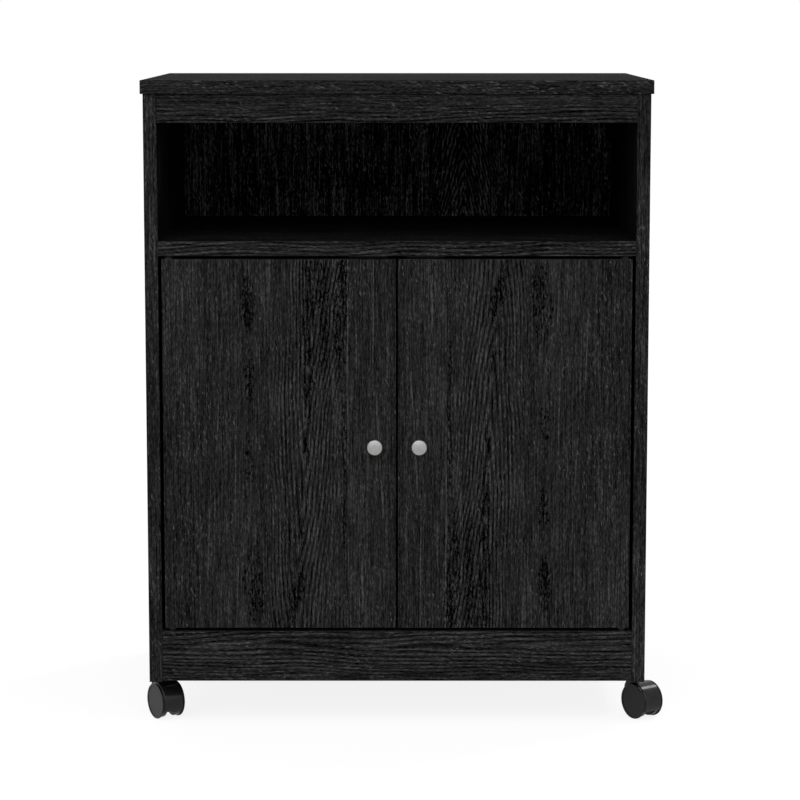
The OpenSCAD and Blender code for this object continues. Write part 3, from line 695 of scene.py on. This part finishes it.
@dataclass
class Carcase:
    """The boards that make the cart's body, and the fittings that hold them."""

    frame: Frame

    def boards(self) -> dict[str, Finish]:
        """Each board's name with its own cut of the laminate."""
        side, up = Grain.SIDEWAYS, Grain.UPRIGHT
        flat = {"apex": 2.0, "taper": 0.02}
        return {
            # inner marks the faces darkened with painted shade, inside the niche and the carcase
            "top_panel": OakLaminate(
                "oak_top", side, 1.3, heart=0.70, lift=-0.03, inner=(Face.UNDER,), **flat
            ),
            "top_rail": OakLaminate("oak_top_rail", side, 4.1, heart=0.70, lift=-0.03, **flat),
            "bottom_rail": OakLaminate(
                "oak_bottom_rail", side, 6.7, heart=0.10, apex=1.6, taper=0.02, lift=0.055
            ),
            "niche_shelf": OakLaminate(
                "oak_niche_shelf", side, 9.2, heart=0.55, lift=0.055, inner=(Face.UNDER, Face.OVER), **flat
            ),
            "bottom_board": OakLaminate("oak_bottom_board", side, 11.9, heart=0.10, **flat),
            "adjustable_shelf": OakLaminate("oak_shelf", side, 14.4, heart=0.33, **flat),
            "left_side_panel": OakLaminate(
                "oak_left_side", up, 17.0, heart=0.03, lift=0.02, inner=(Face.RIGHT,)
            ),
            "right_side_panel": OakLaminate(
                "oak_right_side", up, 19.5, heart=-0.05, lift=0.055, inner=(Face.LEFT,)
            ),
            "back_panel": Hardboard(
                "oak_back", up, 22.1, heart=-0.086, apex=0.78, taper=0.25, turned=(0.0, 0.66)
            ),
        }

    def build(self) -> None:
        """Dresses the boards and their fittings."""
        for node, finish in self.boards().items():
            dress(self.frame, node, finish)
        for node in ("cam_locks", "cam_bolts", "back_nails", "shelf_pins"):
            dress(self.frame, node, Shared.ZINC)
        dress(self.frame, "door_pivot_pins", Shared.DARK_STEEL)
        dress(self.frame, "dowels", Shared.BEECH)
        dress(self.frame, "caster_sockets", Shared.BLACK)


@dataclass
class Catches:
    """The two magnetic catches under the niche's shelf."""

    frame: Frame

    def build(self) -> None:
        """Dresses the catches."""
        dress(self.frame, "catch_housings", Shared.BLACK)
        dress(self.frame, "catch_magnets", Shared.FERRITE)
        dress(self.frame, "catch_screws", Shared.ZINC)


@dataclass
class Door:
    """One of the two doors with its knob, bushes and catch plate."""

    frame: Frame
    side: str

    #: The dark stretches of the doors' print, as on the left door
    KNOTS: ClassVar[tuple[Knot, ...]] = (
        Knot(-0.1040, 0.530, 0.010, 0.070, 0.8),
        Knot(-0.1040, 0.430, 0.006, 0.060, 0.6),
        Knot(-0.0870, 0.490, 0.006, 0.060, 0.7),
        Knot(-0.0670, 0.510, 0.008, 0.080, 0.9),
        Knot(-0.0630, 0.300, 0.003, 0.090, 0.6),
        Knot(-0.1080, 0.335, 0.004, 0.010),
        Knot(-0.1130, 0.232, 0.005, 0.012),
        Knot(-0.1140, 0.175, 0.004, 0.022),
        Knot(-0.1240, 0.155, 0.004, 0.025, 0.8),
        Knot(-0.1760, 0.510, 0.007, 0.030, 0.8),
        Knot(-0.1750, 0.425, 0.006, 0.026, 0.7),
        Knot(-0.1780, 0.315, 0.006, 0.035, 0.6),
        Knot(-0.1710, 0.170, 0.011, 0.045),
    )

    #: The long pale lines of the doors' print, as on the left door
    STREAKS: ClassVar[tuple[Streak, ...]] = (
        Streak(-0.0590, 0.360, 0.575, 0.004),
        Streak(-0.0110, 0.420, 0.500, 0.000, 0.0026),
        Streak(-0.0290, 0.400, 0.575, 0.010),
        Streak(-0.0160, 0.250, 0.420, -0.060),
        Streak(-0.2160, 0.300, 0.480, 0.050),
        Streak(-0.2260, 0.180, 0.330, 0.040),
        Streak(-0.1560, 0.200, 0.420, 0.030, 0.0010, 0.2),
    )

    def laminate(self) -> OakLaminate:
        """The door's own cut of the laminate: the right door's is the left's, turned round."""
        turned = (0.0, 0.341) if self.side == "right" else None
        return OakLaminate(
            f"oak_{self.side}_door", Grain.UPRIGHT, 31.0, heart=-0.116, bend=0.13, foot=0.13,
            apex=0.66, taper=0.075, lift=0.045, knots=self.KNOTS, streaks=self.STREAKS, turned=turned,
        )

    def build(self) -> None:
        """Dresses the door and its fittings."""
        dress(self.frame, f"{self.side}_door", self.laminate())
        low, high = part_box(f"{self.side}_knob")
        centre = ((low.x + high.x) / 2, (low.z + high.z) / 2)
        dress(self.frame, f"{self.side}_knob", SatinNickel(f"nickel_{self.side}_knob", centre))
        dress(self.frame, f"{self.side}_door_bushes", Shared.BLACK)
        dress(self.frame, f"{self.side}_catch_plate", Shared.DARK_STEEL)
        for part in ("knob_screw", "plate_screw"):
            dress(self.frame, f"{self.side}_{part}", Shared.ZINC)


@dataclass
class Caster:
    """One swivelling twin-wheel caster."""

    frame: Frame
    corner: str

    def build(self) -> None:
        """Dresses the caster's hood, stem, axle and wheels."""
        dress(self.frame, f"{self.corner}_hood", Shared.BLACK)
        dress(self.frame, f"{self.corner}_stem", Shared.ZINC)
        dress(self.frame, f"{self.corner}_axle", Shared.ZINC)
        for side in ("left", "right"):
            dress(self.frame, f"{self.corner}_wheel_{side}", Shared.WHEEL)


# ---------------------------------------------------------------- studio


@dataclass(frozen=True)
class Lamp:
    """A soft, distant lamp. azimuth is 0 in front of the cart and 90 at its right."""

    name: str
    azimuth: float
    elevation: float
    width: float
    strength: float

    DISTANCE: ClassVar[float] = 3.0

    def build(self) -> None:
        """Hangs the lamp."""
        data = bpy.data.lights.new(self.name, "SUN")
        data.energy = self.strength
        data.angle = math.radians(self.width)
        lamp = bpy.data.objects.new(self.name, data)
        bpy.context.scene.collection.objects.link(lamp)
        turn, rise = math.radians(self.azimuth), math.radians(self.elevation)
        away = Vector((
            math.sin(turn) * math.cos(rise), -math.cos(turn) * math.cos(rise), math.sin(rise)
        ))
        lamp.rotation_mode = "QUATERNION"
        lamp.rotation_quaternion = away.to_track_quat("Z", "Y")
        lamp.location = away * self.DISTANCE


@dataclass
class Studio:
    """A pale floor, soft light and the camera."""

    floor_half: float = 15.0
    floor_cast: float = 0.62
    floor_shade: float = 0.20
    floor_glow: float = 0.86
    sky: float = 0.45
    lamps: tuple[Lamp, ...] = (
        Lamp("front_lamp", -24.0, 40.0, 60.0, 1.15),
        Lamp("fill_lamp", 34.0, 34.0, 60.0, 0.60),
        Lamp("rear_lamp", 127.4, 50.6, 12.0, 0.65),
    )
    camera_place: tuple[float, float, float] = (0.0068, -3.2285, 0.8447)
    camera_tilt: float = 7.165
    camera_turn: float = 0.0604
    lens: float = 116.93
    shift: float = -0.07

    @staticmethod
    def seen(graph: Graph) -> Signal:
        """1 for a ray of the camera, or one that a glossy or clear surface sends on."""
        path = graph.node("ShaderNodeLightPath").outputs
        rays = [Signal(graph, path[f"Is {kind} Ray"]) for kind in ("Camera", "Glossy", "Transmission")]
        return (rays[0] + rays[1] + rays[2]).clamped()

    def build_floor(self) -> bpy.types.Object:
        """Lays the floor, which shows white and keeps the cart's shadow.

        Returns:
            The floor.
        """
        mesh = bpy.data.meshes.new("floor")
        shape = bmesh.new()
        bmesh.ops.create_grid(shape, x_segments=8, y_segments=8, size=self.floor_half)
        shape.to_mesh(mesh)
        shape.free()
        floor = bpy.data.objects.new("floor", mesh)
        bpy.context.scene.collection.objects.link(floor)
        finish = bpy.data.materials.new("floor")
        finish.use_nodes = True
        graph = Graph(finish.node_tree)
        cast = graph.node("ShaderNodeBsdfDiffuse", inputs={"Color": grey(self.floor_cast)})
        shade = graph.node("ShaderNodeBsdfDiffuse", inputs={"Color": grey(self.floor_shade)})
        glow = graph.node("ShaderNodeEmission", inputs={"Color": grey(1.0), "Strength": self.floor_glow})
        shown = graph.node("ShaderNodeAddShader", inputs={0: shade.outputs[0], 1: glow.outputs[0]})
        mixed = graph.node(
            "ShaderNodeMixShader",
            inputs={0: self.seen(graph), 1: cast.outputs[0], 2: shown.outputs[0]},
        )
        graph.node("ShaderNodeOutputMaterial", inputs={0: mixed.outputs[0]})
        mesh.materials.append(finish)
        return floor

    def build_sky(self) -> None:
        """Lights the studio all round, white where it is seen."""
        world = bpy.data.worlds.new("studio")
        world.use_nodes = True
        bpy.context.scene.world = world
        graph = Graph(world.node_tree)
        strength = self.sky + self.seen(graph) * (1.0 - self.sky)
        sky = graph.node("ShaderNodeBackground", inputs={"Color": grey(1.0), "Strength": strength})
        graph.node("ShaderNodeOutputWorld", inputs={0: sky.outputs[0]})

    def build_camera(self) -> None:
        """Sets up the camera at the photograph's place, tilted instead of fully shifted."""
        data = bpy.data.cameras.new("camera")
        data.sensor_width = 36.0
        data.lens = self.lens
        data.shift_y = self.shift
        data.clip_end = 100.0
        camera = bpy.data.objects.new("camera", data)
        camera.location = self.camera_place
        camera.rotation_euler = Euler(
            (math.radians(90.0 - self.camera_tilt), 0.0, math.radians(self.camera_turn))
        )
        bpy.context.scene.collection.objects.link(camera)
        bpy.context.scene.camera = camera

    def build(self) -> None:
        """Builds the whole studio."""
        self.build_floor()
        self.build_sky()
        for lamp in self.lamps:
            lamp.build()
        self.build_camera()
        bpy.context.scene.view_settings.view_transform = "Standard"
        LOG.info("the studio is up, with %d lamps", len(self.lamps))


def main() -> None:
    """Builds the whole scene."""
    logging.basicConfig(level=logging.INFO, format="%(name)s: %(message)s")
    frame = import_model()
    Carcase(frame).build()
    Catches(frame).build()
    for side in ("left", "right"):
        Door(frame, side).build()
    for corner in ("front_left", "front_right", "rear_left", "rear_right"):
        Caster(frame, corner).build()
    Studio().build()


if __name__ == "__main__":
    main()
